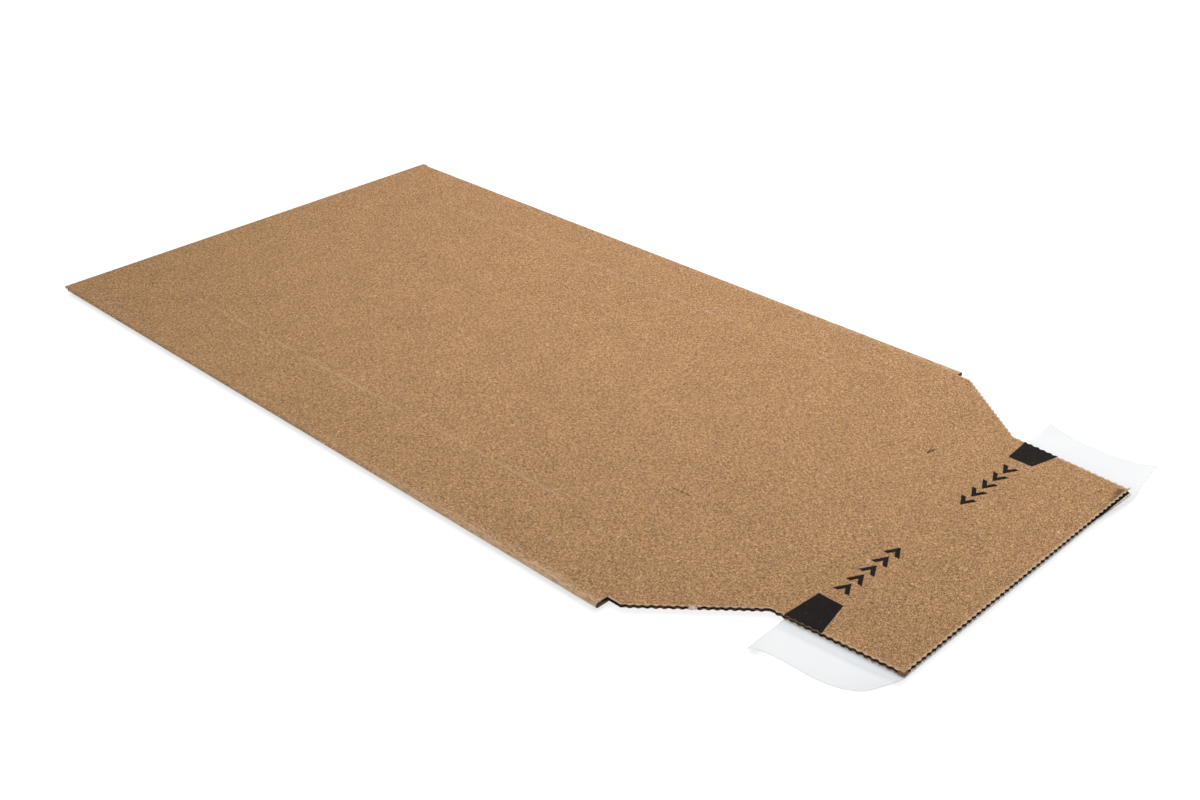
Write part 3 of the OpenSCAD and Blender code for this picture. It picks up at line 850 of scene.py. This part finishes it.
def make_crushed_flutes(material):
    """The fluted sheet inside the split, flattened to a low wave."""
    rng = random.Random(5)
    cols, rows = 110, 5
    top = []
    for i in range(cols + 1):
        s = 0.25 + 0.73 * i / cols
        x = FAR_CORNER_X - SPLIT_LEN * (1 - s)
        depth = SPLIT_DEPTH * s - 0.3 * MM
        wave = 0.2 * MM * math.sin(2 * math.pi * x / FLUTE_PITCH)
        front = (1.6 + rng.uniform(0, 0.4)) * MM
        line = []
        for j in range(rows + 1):
            past = -front - (depth - front) * j / rows
            z = LOWER_FACING_Z + 0.62 * MM + wave + rng.uniform(-0.03, 0.03) * MM
            line.append(slant(x, FLAP_D + min(past, -front), z))
        top.append(line)
    new_piece("crushed_flutes", thick_sheet("crushed_flutes", top, PAPER_T), material)


def make_corner_tab(material):
    """A sliver of the upper facing that sticks out at the split corner."""
    cols, rows = 10, 3
    top = []
    for i in range(cols + 1):
        s = i / cols
        x = FAR_CORNER_X - 2.4 * MM + 4.2 * MM * s
        half = 0.55 * MM * (1 - s) ** 0.6 + 0.05 * MM
        z = UPPER_FACING_Z - 0.02 * MM + 0.2 * MM * s * s
        across = [half * (2 * j / rows - 1) for j in range(rows + 1)]
        top.append([slant(x, FLAP_D - 0.7 * MM + step + 0.4 * MM * s, z) for step in across])
    new_piece("torn_corner_tab", thick_sheet("torn_corner_tab", top, PAPER_T), material)


def make_pressed_corner(material):
    """The flap's near corner, pressed together so that its flutes are closed."""
    rng = random.Random(8)
    side_share = 2.4 * MM / edge_length(NEAR_SIDE)
    free_share = 2.2 * MM / edge_length(FREE_EDGE)
    cols, rows = 14, 6
    places = [(NEAR_SIDE, 1 - side_share * (1 - i / cols)) for i in range(cols)]
    places += [(FREE_EDGE, free_share * i / cols) for i in range(1, cols + 1)]
    front, back = [], []
    for k, (side, share) in enumerate(places):
        ends = math.sin(math.pi * (k + 1) / (len(places) + 1)) ** 0.5
        outer, inner = [], []
        for j in range(rows + 1):
            t = j / rows
            z = FRONT_Z + 0.03 * MM + (BOARD_T - 0.06 * MM) * t
            bulge = (0.22 + 0.16 * math.sin(math.pi * t) + rng.uniform(-0.05, 0.05)) * MM * ends
            outer.append(on_cut_edge(side, share, bulge + 0.16 * MM, z))
            inner.append(on_cut_edge(side, share, bulge - 0.1 * MM, z))
        front.append(outer)
        back.append(inner)
    new_piece("pressed_corner", closed_sheet("pressed_corner", front, back), material)


def add_fibre(bm, start, aim, length, radius, rng, rise=0.5):
    """A thin curved hair of paper with four sides, from a start point towards aim."""
    steps = 4
    bend = Vector((rng.uniform(-1, 1), rng.uniform(-1, 1), rng.uniform(-rise, rise))) * 0.6
    rings = []
    for i in range(steps + 1):
        t = i / steps
        middle = start + (aim * t + bend * t * t) * length
        width = radius * (1 - 0.7 * t)
        across = aim.cross(Vector((0, 0, 1))).normalized() * width
        up = Vector((0, 0, width))
        rings.append([bm.verts.new(middle + offset) for offset in (across, up, -across, -up)])
    for lower, upper in zip(rings, rings[1:]):
        for k in range(4):
            bm.faces.new((lower[k], lower[(k + 1) % 4], upper[(k + 1) % 4], upper[k]))
    bm.faces.new(rings[0][::-1])
    bm.faces.new(rings[-1])


def mesh_from(bm, name):
    bmesh.ops.recalc_face_normals(bm, faces=bm.faces[:])
    mesh = bpy.data.meshes.new(name)
    bm.to_mesh(mesh)
    bm.free()
    return mesh


# Number of loose fibres on each side of the cut outline
FIBRE_COUNTS = {NEAR_SHOULDER: 30, NEAR_SIDE: 30, FREE_EDGE: 70, FAR_SIDE: 24, FAR_SHOULDER: 26}


def make_loose_fibres(material):
    """Short hairs along the cut facings."""
    rng = random.Random(21)
    bm = bmesh.new()
    for side, count in FIBRE_COUNTS.items():
        for _ in range(count):
            share = rng.uniform(0.03, 0.97)
            z = rng.choice((FRONT_Z + 0.1 * MM, TOP_Z - 0.12 * MM, TOP_Z - 0.12 * MM))
            start = on_cut_edge(side, share, -0.35 * MM, z)
            out = (on_cut_edge(side, share, 1, z) - on_cut_edge(side, share, 0, z)).normalized()
            along = Vector((-out.y, out.x, 0)) * rng.uniform(-1.3, 1.3)
            aim = (out + along + Vector((0, 0, rng.uniform(-0.3, 0.5)))).normalized()
            add_fibre(bm, start, aim, rng.uniform(0.7, 1.7) * MM, rng.uniform(0.035, 0.06) * MM, rng)
    new_piece("loose_fibres", mesh_from(bm, "loose_fibres"), material)


def make_dark_hair(material):
    """A dark fibre that lies on the front panel."""
    rng = random.Random(2)
    bm = bmesh.new()
    lift = Vector((0, 0, TOP_Z + 0.1 * MM))
    aim = Vector((1, -0.12, 0)).normalized()
    add_fibre(bm, Vector((0.0513, -0.1777, 0)) + lift, aim, 5 * MM, 0.22 * MM, rng, rise=0)
    new_piece("dark_hair", mesh_from(bm, "dark_hair"), material)


def make_shoulder_fluff(material):
    """A torn tuft over the cut edge of the near shoulder."""
    rng = random.Random(4)
    middle = 0.485
    half = 1.6 * MM / edge_length(NEAR_SHOULDER)
    cols, rows = 14, 8
    front, back = [], []
    for i in range(cols + 1):
        s = 2 * i / cols - 1
        share = middle + half * s
        crown = (1 - s * s) ** 0.5 if abs(s) < 1 else 0.0
        outer, inner = [], []
        for j in range(rows + 1):
            t = j / rows
            z = FRONT_Z + 0.1 * MM + (BOARD_T + 0.05 * MM) * (0.5 + (t - 0.5) * (0.45 + 0.55 * crown))
            puff = (0.3 + 0.35 * crown * math.sin(math.pi * t) + rng.uniform(-0.12, 0.12)) * MM
            outer.append(on_cut_edge(NEAR_SHOULDER, share, puff, z))
            inner.append(on_cut_edge(NEAR_SHOULDER, share, puff - 0.16 * MM, z))
        front.append(outer)
        back.append(inner)
    new_piece("torn_tuft", closed_sheet("torn_tuft", front, back), material)
    bm = bmesh.new()
    for _ in range(26):
        share = middle + half * rng.uniform(-1, 1)
        start = on_cut_edge(NEAR_SHOULDER, share, 0.2 * MM, FRONT_Z + rng.uniform(0.2, 1.6) * MM)
        out = (on_cut_edge(NEAR_SHOULDER, share, 1, 0) - on_cut_edge(NEAR_SHOULDER, share, 0, 0)).normalized()
        aim = (out + Vector((rng.uniform(-1, 1), rng.uniform(-1, 1), rng.uniform(-0.4, 0.7)))).normalized()
        add_fibre(bm, start, aim, rng.uniform(0.8, 1.6) * MM, 0.07 * MM, rng)
    new_piece("tuft_fibres", mesh_from(bm, "tuft_fibres"), material)


# The whole

bpy.context.scene.view_settings.view_transform = "Standard"
make_camera()
make_world()
for lamp_name, lamp_values in LAMPS.items():
    make_lamp(lamp_name, *lamp_values)
make_floor()

KRAFT_BOARD = kraft_board()
NODE_MATERIALS = {
    "envelope_blank": KRAFT_BOARD,
    "seam_glue": seam_adhesive(),
    "adhesive_strip": clear_adhesive(),
    "tear_tape": tear_film(),
    "tear_marks": plain_ink(),
}
for node, finish in NODE_MATERIALS.items():
    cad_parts[node].data.materials.clear()
    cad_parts[node].data.materials.append(finish)
make_liner(liner_paper())

TORN_BROWN = torn_paper("torn_kraft", (0.52, 0.34, 0.2, 1))
TORN_PALE = torn_paper("torn_pale", KRAFT_TORN)
make_lower_ply(torn_paper("torn_ply", (0.9, 0.74, 0.58, 1), PAINTED_FLUTE_SHADE))
make_corner_tab(TORN_BROWN)
make_crushed_flutes(torn_paper("dark_medium", (0.1, 0.06, 0.038, 1)))
make_pressed_corner(torn_paper("pressed_kraft", (0.2, 0.125, 0.075, 1)))
make_loose_fibres(TORN_BROWN)
make_dark_hair(torn_paper("dark_fibre", (0.03, 0.02, 0.014, 1)))
make_shoulder_fluff(TORN_PALE)
